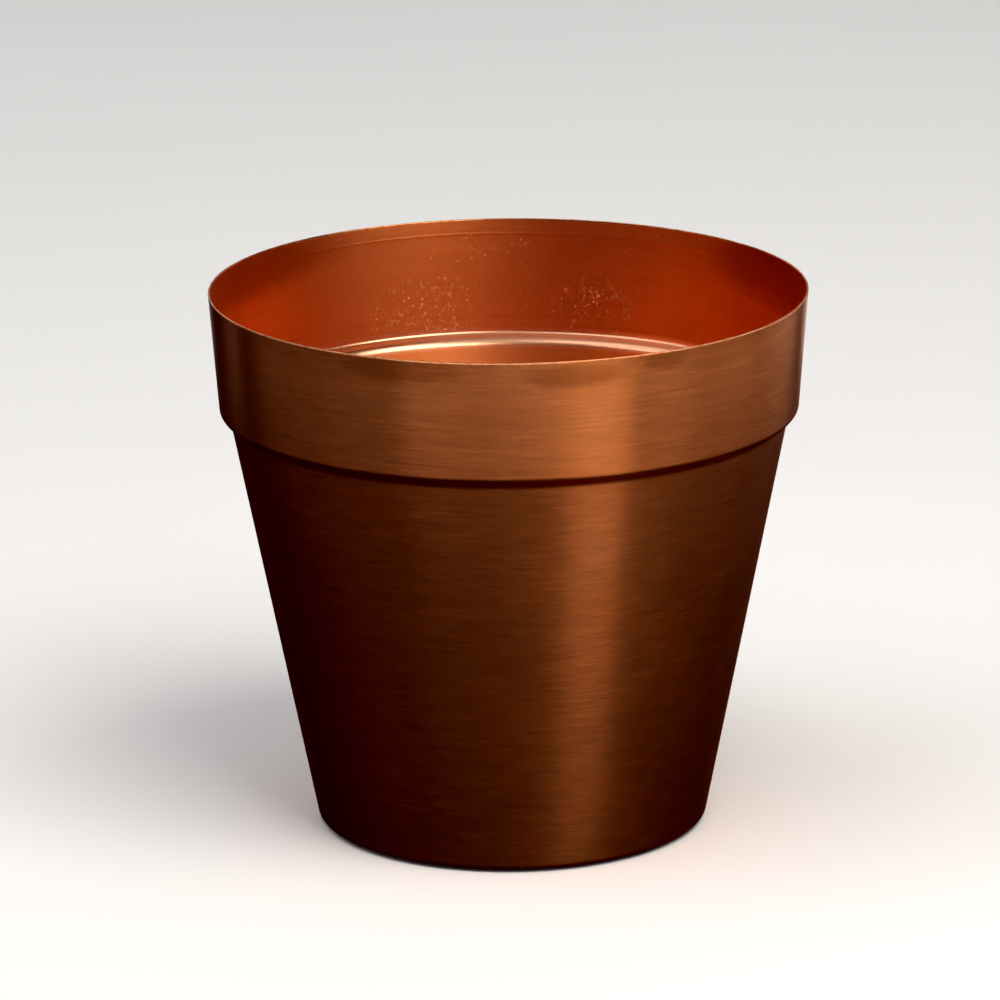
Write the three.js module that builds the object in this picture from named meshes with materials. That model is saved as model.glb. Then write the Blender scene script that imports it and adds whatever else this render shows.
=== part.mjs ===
// A collared plant pot drawn from one copper-coloured sheet, standing on four small stick-on pads.
//
// Millimetres, +Z up. The origin is the middle of the pot's footprint, on the surface it stands on.
// The shell is one sheet of even thickness. Its middle line runs from the middle of the floor out to
// the base corner, up the tapered body, out over the step, and up the collar to the cut rim.

import * as THREE from 'three';

// Driving dimensions of the pot.
const potHeight = 137.5;
const rimRadius = 75;
const sheet = 0.5;
const collarHeight = 30.1;
const collarTaper = THREE.MathUtils.degToRad(4.5);
const stepDepth = 2.5;
const stepHeight = 1.55;
const bodyTaper = THREE.MathUtils.degToRad(11.3);

// Bends, as radii of the sheet's middle line.
const baseBend = 1.4;
const stepOuterBend = 1.4;
const stepInnerBend = 2.7;
const recessBend = 1.2;

// The middle of the floor is pressed up, which stiffens it and keeps it off the surface.
const recessRadius = 29;
const recessHeight = 1.2;
const recessRun = 1.6;

// Pads under the floor's outer band.
const padCount = 4;
const padRadius = 5;
const padThickness = 0.8;
const padCircleRadius = 38;
const firstPadAngle = Math.PI / 4;

// Fineness of the round surfaces.
const turns = 72;
const padTurns = 40;
const bendSteps = 4;

/** An arc that rounds one corner of a line, as points from one tangent point to the other. */
function roundedCorner(before, corner, after, radius) {
  const back = before.clone().sub(corner).normalize();
  const on = after.clone().sub(corner).normalize();
  const halfAngle = back.angleTo(on) / 2;
  const middle = back.clone().add(on).normalize();
  const centre = corner.clone().addScaledVector(middle, radius / Math.sin(halfAngle));
  const start = corner.clone().addScaledVector(back, radius / Math.tan(halfAngle));
  const side = Math.sign(back.cross(on));
  const sweep = side * (2 * halfAngle - Math.PI);
  const arc = [];
  for (let step = 0; step <= bendSteps; step += 1) {
    arc.push(start.clone().rotateAround(centre, (sweep * step) / bendSteps));
  }
  return arc;
}

/** The line through the corners, each inner one rounded by its own radius. */
function bentLine(corners) {
  const line = [corners[0].at];
  for (let i = 1; i < corners.length - 1; i += 1) {
    line.push(...roundedCorner(corners[i - 1].at, corners[i].at, corners[i + 1].at, corners[i].bend));
  }
  line.push(corners[corners.length - 1].at);
  return line;
}

/** The line moved sideways by a distance: to its right where the distance is positive. */
function besideLine(line, distance) {
  return line.map((point, i) => {
    const from = line[Math.max(i - 1, 0)];
    const to = line[Math.min(i + 1, line.length - 1)];
    const along = to.clone().sub(from).normalize();
    return new THREE.Vector2(point.x + along.y * distance, point.y - along.x * distance);
  });
}

/** A closed solid of revolution about +Z from an outline of (radius, height) points. */
function turned(outline, segments) {
  const geometry = new THREE.LatheGeometry(outline, segments);
  geometry.rotateX(Math.PI / 2);
  return geometry;
}

/** The middle line of the sheet, as corners of (radius, height) with their bend radii. */
function shellCorners() {
  const half = sheet / 2;
  const floorHeight = padThickness + half;
  const rimMiddle = rimRadius - half / Math.cos(collarTaper);
  const collarFoot = potHeight - collarHeight;
  const collarFootRadius = rimMiddle - collarHeight * Math.tan(collarTaper);
  const bodyTop = collarFoot - stepHeight;
  const bodyTopRadius = collarFootRadius - stepDepth;
  const baseRadius = bodyTopRadius - (bodyTop - floorHeight) * Math.tan(bodyTaper);
  return [
    { at: new THREE.Vector2(0, floorHeight + recessHeight) },
    { at: new THREE.Vector2(recessRadius - recessRun, floorHeight + recessHeight), bend: recessBend },
    { at: new THREE.Vector2(recessRadius, floorHeight), bend: recessBend },
    { at: new THREE.Vector2(baseRadius, floorHeight), bend: baseBend },
    { at: new THREE.Vector2(bodyTopRadius, bodyTop), bend: stepInnerBend },
    { at: new THREE.Vector2(collarFootRadius, collarFoot), bend: stepOuterBend },
    { at: new THREE.Vector2(rimMiddle, potHeight) },
  ];
}

/** The sheet's closed outline: along its outer face from the axis to the rim, and back along its inner face. */
function shellOutline() {
  const line = bentLine(shellCorners());
  const outer = besideLine(line, sheet / 2);
  const inner = besideLine(line, -sheet / 2);
  for (const face of [outer, inner]) {
    face[0].x = 0;
    face[face.length - 1].y = potHeight;
  }
  return [...outer, ...inner.reverse()];
}

/** A pad's outline, from the axis out along its bottom and back along its top. */
function padOutline() {
  return [
    new THREE.Vector2(0, 0),
    new THREE.Vector2(padRadius, 0),
    new THREE.Vector2(padRadius, padThickness),
    new THREE.Vector2(0, padThickness),
  ];
}

const copper = new THREE.MeshStandardMaterial({ color: 0xb5653a, roughness: 0.32, metalness: 1 });
const darkFelt = new THREE.MeshStandardMaterial({ color: 0x24201d, roughness: 0.95, metalness: 0 });

const group = new THREE.Group();

const shell = new THREE.Mesh(turned(shellOutline(), turns), copper);
shell.name = 'pot_shell';
group.add(shell);

for (let i = 0; i < padCount; i += 1) {
  const angle = firstPadAngle + (i * 2 * Math.PI) / padCount;
  const pad = new THREE.Mesh(turned(padOutline(), padTurns), darkFelt);
  pad.name = `foot_pad_${i + 1}`;
  pad.position.set(padCircleRadius * Math.cos(angle), padCircleRadius * Math.sin(angle), 0);
  group.add(pad);
}

export default group;
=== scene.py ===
"""A collared plant pot in brushed, copper-coloured sheet metal, on a pale studio floor.

The CAD shell and pads give the places and sizes; this script makes their fine surfaces and finishes.
Lengths are metres and angles degrees unless a name says otherwise. Azimuths turn from the side that
faces the camera (-Y, azimuth 0) towards +X.
"""

import math

import bpy
from mathutils import Matrix, Vector, noise


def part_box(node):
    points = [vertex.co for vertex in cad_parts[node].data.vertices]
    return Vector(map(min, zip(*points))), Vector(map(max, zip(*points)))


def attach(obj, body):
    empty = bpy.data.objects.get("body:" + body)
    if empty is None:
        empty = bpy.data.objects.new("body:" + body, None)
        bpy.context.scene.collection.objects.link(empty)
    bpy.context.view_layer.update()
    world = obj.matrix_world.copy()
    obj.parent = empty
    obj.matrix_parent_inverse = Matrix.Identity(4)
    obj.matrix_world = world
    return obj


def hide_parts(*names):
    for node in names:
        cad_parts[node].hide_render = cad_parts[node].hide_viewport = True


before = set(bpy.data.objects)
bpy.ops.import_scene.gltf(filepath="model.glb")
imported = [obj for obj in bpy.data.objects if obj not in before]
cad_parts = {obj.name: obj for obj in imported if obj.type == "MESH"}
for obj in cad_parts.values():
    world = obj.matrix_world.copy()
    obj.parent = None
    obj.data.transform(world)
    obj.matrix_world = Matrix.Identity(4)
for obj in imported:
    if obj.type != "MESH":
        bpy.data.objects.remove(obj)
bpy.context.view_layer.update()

scene = bpy.context.scene
MM = 0.001

# ---------------------------------------------------------------- sizes, from the frame and the design

SHELL_LOW, SHELL_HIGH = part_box("pot_shell")
RIM_RADIUS = SHELL_HIGH.x
RIM_HEIGHT = SHELL_HIGH.z
FLOOR_UNDERSIDE = SHELL_LOW.z
SHEET = 0.5 * MM
COLLAR_HEIGHT = 30.1 * MM
COLLAR_TAPER = math.radians(4.5)
STEP_DEPTH = 2.5 * MM
STEP_HEIGHT = 1.55 * MM
BODY_TAPER = math.radians(11.3)
BASE_BEND = 1.4 * MM
STEP_OUTER_BEND = 1.4 * MM
STEP_INNER_BEND = 2.7 * MM
RECESS_RADIUS = 29 * MM
RECESS_HEIGHT = 1.2 * MM
RECESS_RUN = 1.6 * MM
RECESS_BEND = 1.2 * MM
BEND_STEPS = 12
LONGEST_STRETCH = 3 * MM

PADS = ("foot_pad_1", "foot_pad_2", "foot_pad_3", "foot_pad_4")

# ---------------------------------------------------------------- camera

CAMERA_DISTANCE = 1.71
CAMERA_ELEVATION = math.radians(18.45)
CAMERA_AIM = Vector((-0.0025, 0, 0.0824))
CAMERA_LENS_MM = 241
CAMERA_ROLL = math.radians(-0.5)


def make_camera():
    """The camera stands well back, with a long lens, and looks down on the rim."""
    data = bpy.data.cameras.new("camera")
    data.sensor_width = 36
    data.lens = CAMERA_LENS_MM
    data.clip_end = 100
    camera = bpy.data.objects.new("camera", data)
    scene.collection.objects.link(camera)
    camera.rotation_mode = "QUATERNION"
    place = CAMERA_DISTANCE * Vector((0, -math.cos(CAMERA_ELEVATION), math.sin(CAMERA_ELEVATION)))
    turn = (CAMERA_AIM - place).to_track_quat("-Z", "Y")
    camera.rotation_quaternion = turn @ Matrix.Rotation(CAMERA_ROLL, 4, "Z").to_quaternion()
    camera.location = place
    scene.camera = camera


make_camera()

# ---------------------------------------------------------------- the shell's outline


def rounded_corner(before, corner, after, radius, steps):
    """Points of an arc that rounds one corner of a line."""
    back = (before - corner).normalized()
    on = (after - corner).normalized()
    half_angle = back.angle(on) / 2
    centre = corner + (back + on).normalized() * (radius / math.sin(half_angle))
    start = corner + back * (radius / math.tan(half_angle)) - centre
    side = math.copysign(1, back.x * on.y - back.y * on.x)
    sweep = side * (2 * half_angle - math.pi)
    points = []
    for step in range(steps + 1):
        turn = Matrix.Rotation(sweep * step / steps, 2)
        points.append(centre + turn @ start)
    return points


def subdivided(points, longest):
    """The same line with no stretch longer than asked, and short stretches beside each bend."""
    line = [points[0]]
    for a, b in zip(points, points[1:]):
        length = (b - a).length
        if length > longest:
            near = min(0.4 * MM, length / 4)
            inner = [near + (length - 2 * near) * i / math.ceil(length / longest)
                     for i in range(math.ceil(length / longest) + 1)]
            line += [a.lerp(b, distance / length) for distance in inner]
        line.append(b)
    return line


def sheet_line():
    """The middle line of the sheet, from the axis to the rim, as (radius, height)."""
    half = SHEET / 2
    floor = FLOOR_UNDERSIDE + half
    rim = RIM_RADIUS - half / math.cos(COLLAR_TAPER)
    collar_foot = RIM_HEIGHT - COLLAR_HEIGHT
    collar_foot_radius = rim - COLLAR_HEIGHT * math.tan(COLLAR_TAPER)
    body_top = collar_foot - STEP_HEIGHT
    body_top_radius = collar_foot_radius - STEP_DEPTH
    base_radius = body_top_radius - (body_top - floor) * math.tan(BODY_TAPER)
    corners = [
        (0, floor + RECESS_HEIGHT, 0),
        (RECESS_RADIUS - RECESS_RUN, floor + RECESS_HEIGHT, RECESS_BEND),
        (RECESS_RADIUS, floor, RECESS_BEND),
        (base_radius, floor, BASE_BEND),
        (body_top_radius, body_top, STEP_INNER_BEND),
        (collar_foot_radius, collar_foot, STEP_OUTER_BEND),
        (rim, RIM_HEIGHT, 0),
    ]
    places = [Vector(corner[:2]) for corner in corners]
    line = [places[0]]
    for i in range(1, len(corners) - 1):
        line += rounded_corner(places[i - 1], places[i], places[i + 1], corners[i][2], BEND_STEPS)
    line.append(places[-1])
    return subdivided(line, LONGEST_STRETCH)


def beside(line, distance):
    """The line moved sideways: to its right where the distance is positive."""
    moved = []
    for i, point in enumerate(line):
        along = (line[min(i + 1, len(line) - 1)] - line[max(i - 1, 0)]).normalized()
        moved.append(point + Vector((along.y, -along.x)) * distance)
    return moved


# ---------------------------------------------------------------- the shell's mesh

OUTSIDE, EDGE, INSIDE = range(3)
EDGE_ROUND = 0.09 * MM
TOOL_LINE_DROP = 3.8 * MM
TOOL_LINE_RISE = 0.025 * MM
TOOL_LINE_HALF_WIDTH = 0.45 * MM
TOOL_LINE_STEPS = 4
SEGMENTS = 288
OUT_OF_ROUND = 0.07 * MM
RIM_WAVE = 0.05 * MM
NICK_REACH = 0.8 * MM
# Small nicks in the cut rim: azimuth, half width in mm, depth in mm.
NICKS = [(-31.3, 0.5, 0.14), (-20.4, 0.7, 0.16), (24, 0.4, 0.08), (71, 0.5, 0.1), (128, 0.8, 0.12),
         (163, 0.4, 0.1), (205, 0.6, 0.12), (262, 0.5, 0.1), (301, 0.4, 0.08)]


def with_tool_line(face):
    """The face with a shallow raised line round it, a little below the rim."""
    height = RIM_HEIGHT - TOOL_LINE_DROP
    line = []
    for a, b in zip(face, face[1:]):
        line.append(a)
        if min(a.y, b.y) < height <= max(a.y, b.y):
            along = (b - a).normalized()
            inward = Vector((-abs(along.y), along.x))
            middle = a.lerp(b, (height - a.y) / (b.y - a.y))
            for i in range(-TOOL_LINE_STEPS, TOOL_LINE_STEPS + 1):
                across = i / TOOL_LINE_STEPS
                rise = TOOL_LINE_RISE * (1 + math.cos(math.pi * across)) / 2
                line.append(middle + along * (TOOL_LINE_HALF_WIDTH * across) + inward * rise)
    line.append(face[-1])
    return line


def shell_outline():
    """The sheet's closed outline, as (radius, height) and zone, from the axis under its floor to above it."""
    line = sheet_line()
    outer = beside(line, SHEET / 2)
    inner = beside(line, -SHEET / 2)
    outer[0].x = inner[0].x = 0
    outer[-1] = Vector((RIM_RADIUS, RIM_HEIGHT))
    inner[-1] = Vector((RIM_RADIUS - SHEET / math.cos(COLLAR_TAPER), RIM_HEIGHT))
    edge = [outer[-1] - Vector((0, EDGE_ROUND)), outer[-1] - Vector((EDGE_ROUND * 0.3, EDGE_ROUND * 0.3)),
            outer[-1] - Vector((EDGE_ROUND, 0)), outer[-1].lerp(inner[-1], 0.5),
            inner[-1] + Vector((EDGE_ROUND, 0)), inner[-1] + Vector((EDGE_ROUND * 0.3, -EDGE_ROUND * 0.3)),
            inner[-1] - Vector((0, EDGE_ROUND))]
    inner = with_tool_line(inner[-2::-1])
    outline = [(point, OUTSIDE) for point in outer[:-1]]
    outline += [(point, EDGE) for point in edge]
    outline += [(point, INSIDE) for point in inner]
    return outline


def turn_between(a, b):
    """The turn from azimuth b to azimuth a, from -pi to pi."""
    return (a - b + math.pi) % math.tau - math.pi


def shell_azimuths():
    """Even steps round the pot, replaced by finer ones at each nick in the rim."""
    azimuths = [math.tau * i / SEGMENTS for i in range(SEGMENTS)]
    for azimuth, half_width, _ in NICKS:
        middle = math.radians(azimuth)
        reach = half_width * MM / RIM_RADIUS
        azimuths = [a for a in azimuths if abs(turn_between(a, middle)) > 2.5 * reach]
        azimuths += [(middle + step * reach) % math.tau for step in (-2, -1.2, -0.6, 0, 0.6, 1.2, 2)]
    return sorted(azimuths)


def nick_depth(azimuth):
    """How far the rim is knocked down at an azimuth."""
    depth = 0
    for middle, half_width, deepest in NICKS:
        away = turn_between(azimuth, math.radians(middle))
        depth += deepest * MM * math.exp(-((away * RIM_RADIUS / (half_width * MM)) ** 2))
    return depth


def shell_point(point, azimuth):
    """A point of the outline turned to an azimuth, with the slight unevenness of a pressed sheet."""
    up = point.y / RIM_HEIGHT
    oval = math.cos(2 * azimuth + 0.9) + 0.4 * math.cos(3 * azimuth + 2.2) - 1.4
    radius = point.x + OUT_OF_ROUND * up * min(point.x / RIM_RADIUS, 1) * oval / 2
    near_rim = max(0, 1 - (RIM_HEIGHT - point.y) / NICK_REACH)
    wave = RIM_WAVE * up * up * (math.cos(2 * azimuth + 4) + 0.5 * math.cos(5 * azimuth) - 1.5) / 2
    height = point.y + wave - near_rim * nick_depth(azimuth)
    return (radius * math.sin(azimuth), -radius * math.cos(azimuth), height)


def make_object(name, vertices, faces, materials, zones=None):
    """A smooth-shaded mesh object in the scene."""
    mesh = bpy.data.meshes.new(name)
    mesh.from_pydata(vertices, [], faces)
    for material in materials:
        mesh.materials.append(material)
    mesh.polygons.foreach_set("use_smooth", [True] * len(faces))
    if zones:
        mesh.polygons.foreach_set("material_index", zones)
    mesh.validate()
    mesh.update()
    made = bpy.data.objects.new(name, mesh)
    scene.collection.objects.link(made)
    return made


def turned_faces(rings, around):
    """Faces of a closed turned solid: rows of quads, and a fan to a pole at each end.

    The two poles are the last vertices.
    """
    low_pole, high_pole = rings * around, rings * around + 1
    last = (rings - 1) * around
    faces = [(low_pole, (j + 1) % around, j) for j in range(around)]
    for i in range(rings - 1):
        for j in range(around):
            on = (j + 1) % around
            faces.append((i * around + j, i * around + on, (i + 1) * around + on, (i + 1) * around + j))
    faces += [(last + j, last + (j + 1) % around, high_pole) for j in range(around)]
    return faces


def make_shell(materials):
    """The pot: one thin sheet, closed all round."""
    outline = shell_outline()
    azimuths = shell_azimuths()
    rings = outline[1:-1]
    vertices = [shell_point(point, azimuth) for point, _ in rings for azimuth in azimuths]
    vertices += [(0, 0, outline[0][0].y), (0, 0, outline[-1][0].y)]
    faces = turned_faces(len(rings), len(azimuths))
    zones = [OUTSIDE] * len(azimuths)
    for (_, zone), (_, next_zone) in zip(rings, rings[1:]):
        zones += [max(zone, next_zone) if zone != EDGE else EDGE] * len(azimuths)
    zones += [INSIDE] * len(azimuths)
    return make_object("pot", vertices, faces, materials, zones)


# ---------------------------------------------------------------- pads

PAD_SIDES = 72
PAD_SEED = 11


def make_pad(node, material, number):
    """A disc of felt: soft top and bottom edges, an uneven cut side and a slightly fuzzy face."""
    low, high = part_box(node)
    middle = (low + high) / 2
    radius = (high.x - low.x) / 2
    thick = high.z - low.z
    # Fractions of the radius and of the thickness, from the middle of the bottom out and back over the top.
    outline = [(0.3, 0), (0.6, 0), (0.85, 0), (0.955, 0.02), (0.985, 0.12), (0.995, 0.3), (1, 0.5),
               (0.99, 0.75), (0.975, 0.92), (0.94, 1), (0.8, 1), (0.5, 1), (0.2, 1)]
    vertices = []
    for i, (out, up) in enumerate(outline):
        for j in range(PAD_SIDES):
            angle = math.tau * j / PAD_SIDES
            place = Vector((math.cos(angle) * 3, math.sin(angle) * 3, up * 2 + PAD_SEED * number))
            uneven = noise.noise(place * 2) * 0.012 - 0.008 if out > 0.9 else 0
            fuzz = (noise.noise(place * 5 + Vector((i, 0, 0))) * 0.5 + 0.5) * 0.02 if 0 < up < 1 else 0
            reach = radius * (out + uneven - fuzz)
            vertices.append((middle.x + reach * math.cos(angle), middle.y + reach * math.sin(angle),
                             low.z + thick * up))
    vertices += [(middle.x, middle.y, low.z), (middle.x, middle.y, high.z)]
    faces = turned_faces(len(outline), PAD_SIDES)
    return make_object(f"felt_pad_{number}", vertices, faces, [material])


# ---------------------------------------------------------------- finishes

# Patterns that run round the pot are drawn on a circle of this radius, so they have no seam.
PATTERN_RADIUS = 0.07


def new_material(name):
    material = bpy.data.materials.new(name)
    material.use_nodes = True
    return material


class Shader:
    """A node tree, emptied, with short ways to add what the finishes are made of."""

    def __init__(self, tree):
        self.tree = tree
        tree.nodes.clear()

    def feed(self, socket, value):
        if isinstance(value, bpy.types.NodeSocket):
            self.tree.links.new(value, socket)
        else:
            socket.default_value = value

    def node(self, kind, inputs=None, **settings):
        made = self.tree.nodes.new(kind)
        for key, value in settings.items():
            setattr(made, key, value)
        for key, value in (inputs or {}).items():
            self.feed(made.inputs[key], value)
        return made

    def math(self, operation, *values):
        made = self.node("ShaderNodeMath", operation=operation)
        for socket, value in zip(made.inputs, values):
            self.feed(socket, value)
        return made.outputs[0]

    def vector(self, x, y, z):
        return self.node("ShaderNodeCombineXYZ", {0: x, 1: y, 2: z}).outputs[0]

    def noise(self, vector, scale=1.0, detail=2.0, roughness=0.5):
        return self.node("ShaderNodeTexNoise", {"Vector": vector, "Scale": scale, "Detail": detail,
                                                "Roughness": roughness}).outputs[0]

    def remap(self, value, low, high, to_low=0.0, to_high=1.0, smooth=False):
        kind = "SMOOTHSTEP" if smooth else "LINEAR"
        return self.node("ShaderNodeMapRange", {0: value, 1: low, 2: high, 3: to_low, 4: to_high},
                         interpolation_type=kind).outputs[0]

    def mix(self, factor, a, b):
        made = self.node("ShaderNodeMix", data_type="RGBA")
        self.feed(made.inputs[0], factor)
        self.feed(made.inputs[6], a)
        self.feed(made.inputs[7], b)
        return made.outputs[2]

    def tinted(self, color, amount):
        """The colour times a number that varies over the surface."""
        grey = self.node("ShaderNodeCombineColor", {0: amount, 1: amount, 2: amount}).outputs[0]
        made = self.node("ShaderNodeMix", data_type="RGBA", blend_type="MULTIPLY")
        self.feed(made.inputs[0], 1.0)
        self.feed(made.inputs[6], color)
        self.feed(made.inputs[7], grey)
        return made.outputs[2]

    def bump(self, height, distance):
        bump = self.node("ShaderNodeBump", {"Height": height, "Distance": distance, "Strength": 1.0})
        return bump.outputs[0]

    def finish(self, principled):
        self.node("ShaderNodeOutputMaterial", {"Surface": principled.outputs[0]})


class Ring:
    """Sockets for a place on a turned surface: its direction from the axis and how far along it is."""

    def __init__(self, shader):
        self.shader = shader
        self.place = shader.node("ShaderNodeTexCoord").outputs["Object"]
        split = shader.node("ShaderNodeSeparateXYZ", {0: self.place})
        x, y, self.height = split.outputs
        squares = shader.math("ADD", shader.math("MULTIPLY", x, x), shader.math("MULTIPLY", y, y))
        self.radius = shader.math("MAXIMUM", shader.math("SQRT", squares), 0.0005)
        self.east = shader.math("DIVIDE", x, self.radius)
        self.north = shader.math("DIVIDE", y, self.radius)
        self.azimuth = shader.math("ARCTAN2", x, shader.math("MULTIPLY", y, -1.0))
        self.along = shader.math("ADD", self.height, self.radius)

    def streaks(self, length, width, seed, detail=2.0, roughness=0.5, wander=0.0):
        """Noise drawn out round the pot: streaks of about this length and width, that wander up and down."""
        shader = self.shader
        along = self.along
        if wander:
            drift = shader.noise(self.place, scale=28.0, detail=1.0)
            along = shader.math("MULTIPLY_ADD", drift, wander, along)
        grow = PATTERN_RADIUS / length
        vector = shader.vector(shader.math("MULTIPLY", self.east, grow),
                               shader.math("MULTIPLY", self.north, grow),
                               shader.math("MULTIPLY_ADD", along, 1 / width, seed))
        return shader.noise(vector, detail=detail, roughness=roughness)

    def patch(self, azimuth, height, half_angle, half_height, ragged=0.0):
        """1 in the middle of an oval patch on the wall, fading to 0 at its edge."""
        shader = self.shader
        across = shader.math("DIVIDE", shader.math("SUBTRACT", self.azimuth, math.radians(azimuth)),
                             math.radians(half_angle))
        up = shader.math("DIVIDE", shader.math("SUBTRACT", self.height, height), half_height)
        away = shader.math("ADD", shader.math("MULTIPLY", across, across), shader.math("MULTIPLY", up, up))
        if ragged:
            uneven = shader.noise(self.place, scale=160.0, detail=3.0)
            away = shader.math("MULTIPLY_ADD", uneven, ragged, away)
        return shader.remap(away, 1.0, 0.25, smooth=True)

    def scratch(self, azimuth, height, half_angle, slope, half_width):
        """1 along one thin line on the wall that rises by slope as it goes round."""
        shader = self.shader
        turn = shader.math("SUBTRACT", self.azimuth, math.radians(azimuth))
        line = shader.math("MULTIPLY_ADD", turn, slope * PATTERN_RADIUS, height)
        away = shader.math("ABSOLUTE", shader.math("SUBTRACT", self.height, line))
        thin = shader.remap(away, 0.0, half_width, 1.0, 0.0)
        reach = math.radians(half_angle)
        ends = shader.remap(shader.math("ABSOLUTE", turn), reach, 0.4 * reach)
        return shader.math("MULTIPLY", thin, ends)

    def patches(self, places, ragged):
        """1 in the middle of each of several patches: azimuth, height, half angle, half height in mm."""
        return brightest(self.shader, [self.patch(azimuth, height * MM, half_angle, half_height * MM, ragged)
                                       for azimuth, height, half_angle, half_height in places])

    def off_step(self):
        """The distance up or down from the middle of the step."""
        return self.shader.math("ABSOLUTE", self.shader.math("SUBTRACT", self.height, STEP_MIDDLE))


def brightest(shader, values):
    """The largest of several sockets."""
    top = values[0]
    for value in values[1:]:
        top = shader.math("MAXIMUM", top, value)
    return top


COPPER = (0.80, 0.305, 0.125, 1)
COPPER_DEEP = (0.74, 0.26, 0.10, 1)
COPPER_PALE = (0.90, 0.42, 0.21, 1)
# Paler copper: a painted highlight on the inside of the step.
COPPER_PAINTED_HIGHLIGHT = (0.95, 0.52, 0.34, 1)
# Dark copper: tarnish, and painted shade in the corner under the collar and on the inside below the rim.
TARNISH_AND_SHADE = (0.30, 0.085, 0.025, 1)
DUST = (1.0, 0.66, 0.44, 1)

# The inside of the step is smoother, burnished by drawing the sheet over the die, and is painted paler there:
# a painted highlight that whitens the reflections on its bends.
STEP_MIDDLE = RIM_HEIGHT - COLLAR_HEIGHT - STEP_HEIGHT / 2
STEP_SHINE_REACH = 2.7 * MM

# Tarnish gathers under the rim. The corner under the collar is darkened as well: painted shade, where the
# collar's overhang shades it.
RIM_TARNISH_REACH = 9 * MM
CORNER_SHADE_REACH = 1.9 * MM

# The azimuths below run from -180 to 180.
# Dark tarnish on the collar's outside: azimuth, distance below the rim in mm, half angle, half height in mm.
SMUDGES = [(-21, 2.8, 19, 5.2), (31, 2.2, 8, 4.4), (12, 3.8, 14, 4.6), (94, 16, 20, 19), (-120, 3, 14, 5)]
# Painted shade on the inside, darker below the rim at both sides, with the same columns.
INNER_PAINTED_SHADE = [(-114, 3, 40, 11), (108, 4, 36, 13)]
# Where dust and scuffs gather on the inside: azimuth, height in mm, half angle, half height in mm.
DUSTY_PATCHES = [(-162, 115, 21, 15), (162, 116, 17, 14), (60, 116, 20, 12), (-40, 60, 30, 20)]
# Long handling scratches: azimuth, height in mm, half angle, rise as it goes round, half width in mm.
SCRATCHES = [(17, 12.4, 15, 0.0, 0.16), (26, 72, 9, 0.2, 0.12), (30, 70.2, 7, 0.26, 0.1),
             (20, 60.5, 12, 0.1, 0.1), (24, 44.8, 9, 0.12, 0.12), (-22, 63, 6, -0.5, 0.14),
             (-14, 96, 11, -0.15, 0.1), (-26, 119, 10, 0.02, 0.14), (22, 121.5, 12, 0.05, 0.12),
             (150, 40, 14, 0.12, 0.12), (-100, 58, 12, 0.1, 0.12)]


def below_rim(places):
    """Patches given by their distance below the rim in mm, with their height in mm instead."""
    return [(azimuth, RIM_HEIGHT / MM - drop, half_angle, half_height)
            for azimuth, drop, half_angle, half_height in places]


BRUSHED_ROUGHNESS = 0.36
BRUSHED_ANISOTROPY = 0.71
BRUSH_DEPTH = 0.012 * MM
# The brush lines, in metres: length and width.
FINE_LINES = (0.009, 0.00023)
BROAD_LINES = (0.03, 0.0011)
WAVES = (0.014, 0.0045)


def brushed_copper():
    """The outside: brushed round the pot, so that reflections spread up and down and stay narrow across."""
    material = new_material("copper_brushed")
    shader = Shader(material.node_tree)
    ring = Ring(shader)
    fine = ring.streaks(*FINE_LINES, 3.0, detail=4.0, roughness=0.65, wander=0.0004)
    broad = ring.streaks(*BROAD_LINES, 17.0, detail=2.0, wander=0.001)
    waves = ring.streaks(*WAVES, 31.0, detail=3.0, roughness=0.6)
    cloud = shader.noise(ring.place, scale=38.0, detail=3.0, roughness=0.55)
    lines = [ring.scratch(azimuth, height * MM, half_angle, slope, half_width * MM)
             for azimuth, height, half_angle, slope, half_width in SCRATCHES]
    scratches = brightest(shader, lines)

    dark_patches = ring.patches(below_rim(SMUDGES), 0.5)
    near_rim = shader.remap(ring.height, RIM_HEIGHT - RIM_TARNISH_REACH, RIM_HEIGHT, 0.0, 0.6)
    under_rim = shader.math("MULTIPLY", near_rim, shader.remap(cloud, 0.3, 0.6))
    # Painted shade: the corner under the collar is darkened, where the overhanging step shades it.
    corner_shade = shader.remap(ring.off_step(), CORNER_SHADE_REACH, CORNER_SHADE_REACH / 3, smooth=True)
    tarnish_and_shade = brightest(shader, [dark_patches, under_rim, corner_shade])

    color = shader.mix(shader.remap(cloud, 0.35, 0.68), COPPER, COPPER_DEEP)
    for streaks, low, high in ((fine, 0.88, 1.1), (broad, 0.96, 1.03), (waves, 0.95, 1.04)):
        color = shader.tinted(color, shader.remap(streaks, 0.3, 0.7, low, high))
    # Tarnish, and the painted shade in the corner under the collar, darken the colour.
    color = shader.mix(shader.math("MULTIPLY", tarnish_and_shade, 0.5), color, TARNISH_AND_SHADE)
    color = shader.mix(shader.math("MULTIPLY", scratches, 0.4), color, COPPER_PALE)

    rough = shader.math("ADD", shader.remap(fine, 0.3, 0.7, -0.03, 0.03), BRUSHED_ROUGHNESS)
    rough = shader.math("ADD", rough, shader.remap(cloud, 0.3, 0.7, -0.02, 0.02))
    height = shader.math("MULTIPLY_ADD", broad, 2.0, fine)
    height = shader.math("MULTIPLY_ADD", scratches, -0.8, height)
    height = shader.math("MULTIPLY_ADD", waves, 6.5, height)
    principled = shader.node("ShaderNodeBsdfPrincipled", {
        "Base Color": color, "Metallic": 1.0, "Roughness": rough,
        "Anisotropic": BRUSHED_ANISOTROPY, "Anisotropic Rotation": 0.25,
        "Tangent": shader.node("ShaderNodeTangent", direction_type="RADIAL", axis="Z").outputs[0],
        "Normal": shader.bump(height, BRUSH_DEPTH)})
    shader.finish(principled)
    return material


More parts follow.
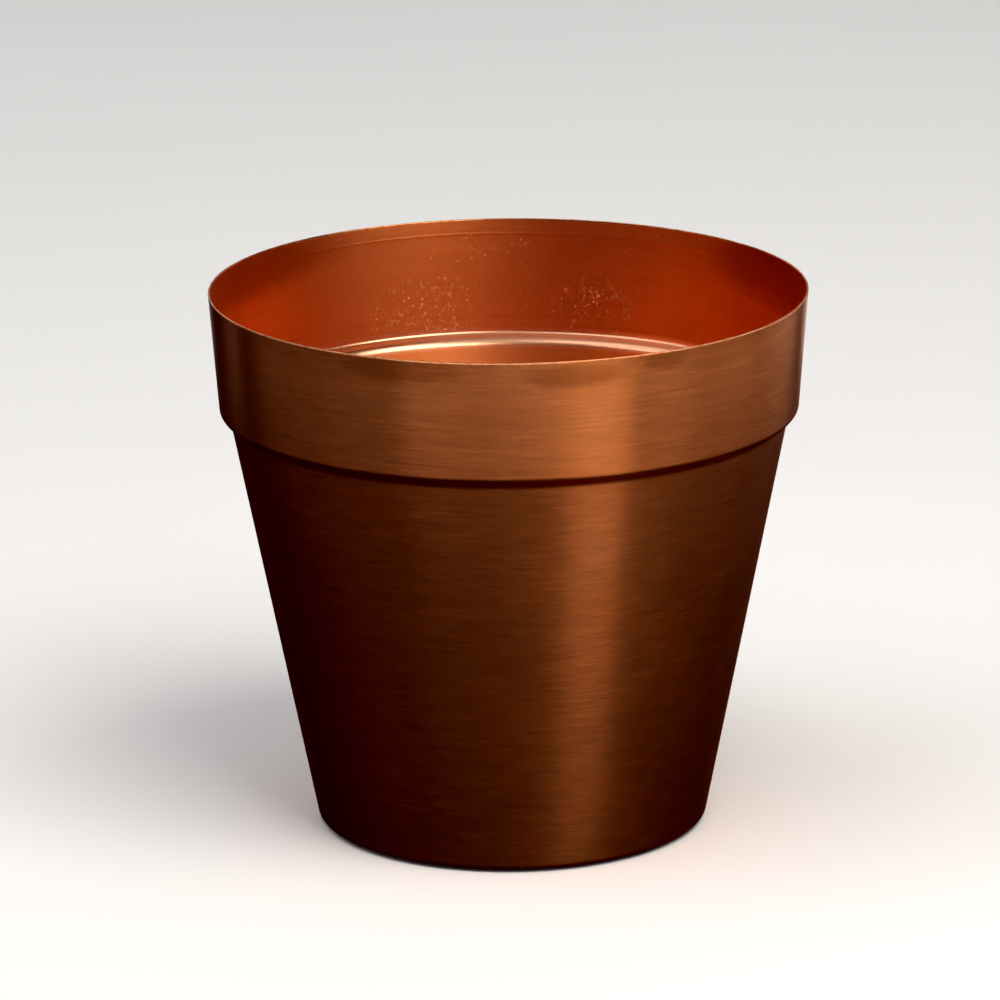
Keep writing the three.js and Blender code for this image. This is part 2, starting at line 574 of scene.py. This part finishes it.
def dust_and_scuffs(shader, ring, cloud):
    """Pale specks and broken, curling scuffs, thickest in a few patches."""
    everywhere = shader.remap(cloud, 0.45, 0.7, 0.15, 0.6)
    dusty = shader.math("MAXIMUM", ring.patches(DUSTY_PATCHES, 0.6), everywhere)
    specks = shader.node("ShaderNodeTexVoronoi", {"Vector": ring.place, "Scale": 850.0, "Randomness": 1.0})
    near = shader.remap(specks.outputs["Distance"], 0.3, 0.12)
    chance = shader.node("ShaderNodeSeparateColor", {0: specks.outputs["Color"]}).outputs[0]
    speck = shader.math("MULTIPLY", near, shader.remap(chance, 0.62, 1.0))
    dust = shader.math("MULTIPLY", speck, dusty)

    curls = shader.noise(ring.place, scale=330.0, detail=2.0, roughness=0.6)
    off_curl = shader.math("ABSOLUTE", shader.math("SUBTRACT", curls, 0.5))
    broken = shader.remap(shader.noise(ring.place, scale=700.0, detail=1.0), 0.46, 0.6)
    strength = shader.math("MULTIPLY", broken, shader.remap(dusty, 0.4, 1.0, 0.0, 0.5))
    scuffs = shader.math("MULTIPLY", shader.remap(off_curl, 0.03, 0.0), strength)
    return shader.math("MAXIMUM", dust, scuffs)


def satin_copper():
    """The inside: smooth and satin, with dust, scuffs, faint turning marks, painted shade below the rim at
    both sides, and a smoother, burnished step whose paler colour is a painted highlight.
    """
    material = new_material("copper_satin")
    shader = Shader(material.node_tree)
    ring = Ring(shader)
    turning = ring.streaks(0.05, 0.0011, 5.0, detail=2.0, wander=0.001)
    cloud = shader.noise(ring.place, scale=45.0, detail=3.0)
    grain = shader.noise(ring.place, scale=2600.0, detail=2.0)
    dust = dust_and_scuffs(shader, ring, cloud)
    # Painted shade on the inner wall below the rim, at both sides.
    dark_patches = ring.patches(below_rim(INNER_PAINTED_SHADE), 0.3)
    burnish_and_highlight = shader.remap(ring.off_step(), STEP_SHINE_REACH, STEP_SHINE_REACH / 2)

    color = shader.mix(shader.remap(cloud, 0.35, 0.65), COPPER, COPPER_DEEP)
    color = shader.tinted(color, shader.remap(turning, 0.3, 0.7, 0.97, 1.03))
    # The painted shade darkens the inner wall below the rim.
    color = shader.mix(shader.math("MULTIPLY", dark_patches, 0.5), color, TARNISH_AND_SHADE)
    # Painted highlight: the inside of the step is painted paler, so its bends shine whiter.
    color = shader.mix(burnish_and_highlight, color, COPPER_PAINTED_HIGHLIGHT)
    color = shader.mix(dust, color, DUST)

    rough = shader.math("ADD", shader.remap(cloud, 0.3, 0.7, 0.41, 0.47), shader.math("MULTIPLY", dust, 0.4))
    rough = shader.math("MULTIPLY", rough, shader.remap(burnish_and_highlight, 0.0, 1.0, 1.0, 0.74))
    height = shader.math("ADD", shader.math("MULTIPLY", turning, 0.8), shader.math("MULTIPLY", grain, 0.25))
    height = shader.math("MULTIPLY_ADD", dust, 3.0, height)
    principled = shader.node("ShaderNodeBsdfPrincipled", {
        "Base Color": color, "Metallic": shader.math("MULTIPLY_ADD", dust, -0.25, 1.0), "Roughness": rough,
        "Normal": shader.bump(height, 0.01 * MM)})
    shader.finish(principled)
    return material


def cut_edge_copper():
    """The rim: a trimmed edge, brighter than the faces, with burrs and short dull spots."""
    material = new_material("copper_cut_edge")
    shader = Shader(material.node_tree)
    ring = Ring(shader)
    spots = ring.streaks(0.0016, 0.004, 9.0, detail=2.0)
    wear = ring.streaks(0.02, 0.01, 2.0, detail=1.0)
    color = shader.mix(shader.remap(spots, 0.5, 0.68), COPPER_PALE, COPPER_DEEP)
    principled = shader.node("ShaderNodeBsdfPrincipled", {
        "Base Color": color, "Metallic": 1.0, "Roughness": shader.remap(wear, 0.3, 0.7, 0.22, 0.36),
        "Normal": shader.bump(spots, 0.02 * MM)})
    shader.finish(principled)
    return material


def felt():
    """Dark pressed felt: matted fibres, slightly lighter fluff and soft sheen."""
    material = new_material("felt")
    shader = Shader(material.node_tree)
    place = shader.node("ShaderNodeTexCoord").outputs["Object"]
    fibres = shader.noise(place, scale=2400.0, detail=4.0, roughness=0.7)
    fluff = shader.noise(place, scale=700.0, detail=3.0)
    color = shader.mix(shader.remap(fibres, 0.35, 0.7), (0.012, 0.010, 0.009, 1), (0.045, 0.038, 0.033, 1))
    color = shader.mix(shader.remap(fluff, 0.6, 0.75, 0.0, 0.5), color, (0.11, 0.095, 0.085, 1))
    principled = shader.node("ShaderNodeBsdfPrincipled", {
        "Base Color": color, "Roughness": shader.remap(fluff, 0.3, 0.7, 0.85, 1.0), "Sheen Weight": 0.3,
        "Sheen Roughness": 0.5, "Normal": shader.bump(fibres, 0.1 * MM)})
    shader.finish(principled)
    return material


def studio_floor():
    """A matte pale sweep."""
    material = new_material("studio_floor")
    shader = Shader(material.node_tree)
    place = shader.node("ShaderNodeTexCoord").outputs["Object"]
    tone = shader.noise(place, scale=3.0, detail=3.0)
    color = shader.mix(tone, (0.70, 0.685, 0.66, 1), (0.74, 0.725, 0.70, 1))
    shader.finish(shader.node("ShaderNodeBsdfPrincipled", {"Base Color": color, "Roughness": 0.9,
                                                            "Specular IOR Level": 0.2}))
    return material


# ---------------------------------------------------------------- the object

shell = make_shell([brushed_copper(), cut_edge_copper(), satin_copper()])
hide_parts("pot_shell")
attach(shell, "root")

pad_felt = felt()
for number, node in enumerate(PADS, start=1):
    pad = make_pad(node, pad_felt, number)
    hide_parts(node)
    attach(pad, "root")

# ---------------------------------------------------------------- studio

FLOOR_RADIUS = 12
FLOOR_SIDES = 96
AIM = Vector((0, 0, 0.07))


def make_floor():
    """A round pale floor, far wider than any view of it.

    The metal doesn't reflect it, and it lets the light of the lowest softboxes through.
    """
    angles = [math.tau * i / FLOOR_SIDES for i in range(FLOOR_SIDES)]
    rim = [(FLOOR_RADIUS * math.cos(angle), FLOOR_RADIUS * math.sin(angle), 0) for angle in angles]
    floor = make_object("floor", rim, [tuple(range(FLOOR_SIDES))], [studio_floor()])
    floor.visible_glossy = False
    floor.visible_shadow = False


WHITE = (1.0, 0.97, 0.93)
WARM = (1.0, 0.91, 0.78)
COOL = (0.92, 0.94, 1.0)

# Softboxes that the metal reflects: name, azimuth, elevation, distance, width, height, watts per square metre
# of panel and colour.
# The low ones stand close round the pot, because its tapered sides mirror what is low and near.
SOFTBOXES = [
    ("key_near", 27, 34, 0.5, 0.18, 0.16, 17, WARM),
    ("key_side", 52, 34, 0.5, 0.22, 0.16, 10, WARM),
    ("key_high", 60, 48, 0.5, 0.18, 0.16, 14, WARM),
    ("low_key", 32, 9, 0.35, 0.15, 0.08, 4, WARM),
    ("table_key", 34, -18, 0.35, 0.13, 0.08, 3.5, WARM),
    ("low_left_far", -85, 6, 0.35, 0.22, 0.08, 1.5, WHITE),
    ("low_left", -50, 6, 0.35, 0.22, 0.08, 2, WHITE),
    ("low_front_left", -20, 4, 0.35, 0.19, 0.08, 4.5, WHITE),
    ("low_front", 8, 4, 0.35, 0.16, 0.08, 5, WHITE),
    ("low_front_right", 60, 6, 0.35, 0.14, 0.08, 4.5, WHITE),
    ("low_right", 88, 6, 0.35, 0.19, 0.08, 4.5, WHITE),
    ("low_right_far", 118, 3, 0.35, 0.16, 0.08, 3, WHITE),
    ("low_back_right", 158, 0, 0.35, 0.1, 0.08, 4, WHITE),
    ("low_back", 180, -2, 0.35, 0.12, 0.08, 7, WHITE),
    ("low_back_left", -162, 0, 0.35, 0.1, 0.08, 1.5, WHITE),
    ("back_left", -150, 34, 0.5, 0.2, 0.16, 4, WHITE),
    ("edge_left", -119, 4, 0.35, 0.02, 0.06, 6, WHITE),
    ("edge_right", 142, 20, 0.5, 0.12, 0.2, 5, WHITE),
    ("rim_back", 180, 20, 1.0, 0.5, 0.12, 2.5, WHITE),
    ("window_left", -68, 36, 1.0, 0.7, 0.15, 9, WHITE),
    ("window_right", 60, 25, 1.0, 0.4, 0.15, 3.5, WHITE),
    ("window_front", 0, 34, 1.0, 0.6, 0.12, 1.5, WHITE),
    ("high_left", -68, 58, 1.0, 1.2, 0.35, 3.5, WHITE),
    ("high_front", 0, 60, 1.0, 1.2, 0.3, 2, WHITE),
    ("high_back", 180, 60, 1.0, 0.6, 0.35, 6, WHITE),
    ("overhead", 0, 88, 1.9, 1.2, 1.2, 1, WHITE),
]
# Wide softboxes that light only the floor, and cast the pot's shadow on it.
FLOOR_SOFTBOXES = [
    ("floor_key", 38, 55, 2.0, 1.4, 1.4, 17, WHITE),
    ("floor_fill", -60, 60, 2.4, 2.0, 2.0, 5.5, COOL),
]


def make_softbox(name, azimuth, elevation, distance, width, height, glow, color):
    """An area light that faces the pot from an azimuth and elevation, and isn't itself seen."""
    data = bpy.data.lights.new(name, "AREA")
    data.shape = "RECTANGLE"
    data.size, data.size_y = width, height
    data.energy = glow * width * height
    data.color = color
    light = bpy.data.objects.new(name, data)
    scene.collection.objects.link(light)
    a, e = math.radians(azimuth), math.radians(elevation)
    back = Vector((math.sin(a) * math.cos(e), -math.cos(a) * math.cos(e), math.sin(e)))
    light.location = AIM + back * distance
    light.rotation_mode = "QUATERNION"
    light.rotation_quaternion = (-back).to_track_quat("-Z", "Y")
    light.visible_camera = False
    return light


def make_lights():
    """One set of softboxes for the metal, which has only reflections, and one for the matte floor."""
    for softbox in SOFTBOXES:
        make_softbox(*softbox).visible_diffuse = False
    for softbox in FLOOR_SOFTBOXES:
        make_softbox(*softbox).visible_glossy = False


ROOM_COLOR = (0.95, 0.97, 1.0, 1)
ROOM_STRENGTH = 0.4
DARK_COLOR = (1.0, 0.8, 0.65, 1)
DARK_STRENGTH = 0.015


def make_world():
    """A pale room for the floor and for what the camera sees past it. The metal reflects a dark one."""
    world = bpy.data.worlds.new("studio")
    scene.world = world
    world.use_nodes = True
    shader = Shader(world.node_tree)
    dark = shader.node("ShaderNodeBackground", {"Color": DARK_COLOR, "Strength": DARK_STRENGTH})
    room = shader.node("ShaderNodeBackground", {"Color": ROOM_COLOR, "Strength": ROOM_STRENGTH})
    is_glossy = shader.node("ShaderNodeLightPath").outputs["Is Glossy Ray"]
    mixed = shader.node("ShaderNodeMixShader", {0: is_glossy, 1: room.outputs[0], 2: dark.outputs[0]})
    shader.node("ShaderNodeOutputWorld", {"Surface": mixed.outputs[0]})
    world.cycles.sampling_method = "NONE"


# Red, green and blue below these turn black, which keeps the darkest copper a deep red.
BLACK_LEVEL = (0.006, 0.0107, 0.0075)


def set_tones():
    """Tones with a little more contrast than plain ones, and blacks that clip."""
    view = scene.view_settings
    view.view_transform = "Standard"
    view.look = "Medium High Contrast"
    view.use_curve_mapping = True
    view.curve_mapping.black_level = BLACK_LEVEL
    view.curve_mapping.update()


make_floor()
make_lights()
make_world()
set_tones()
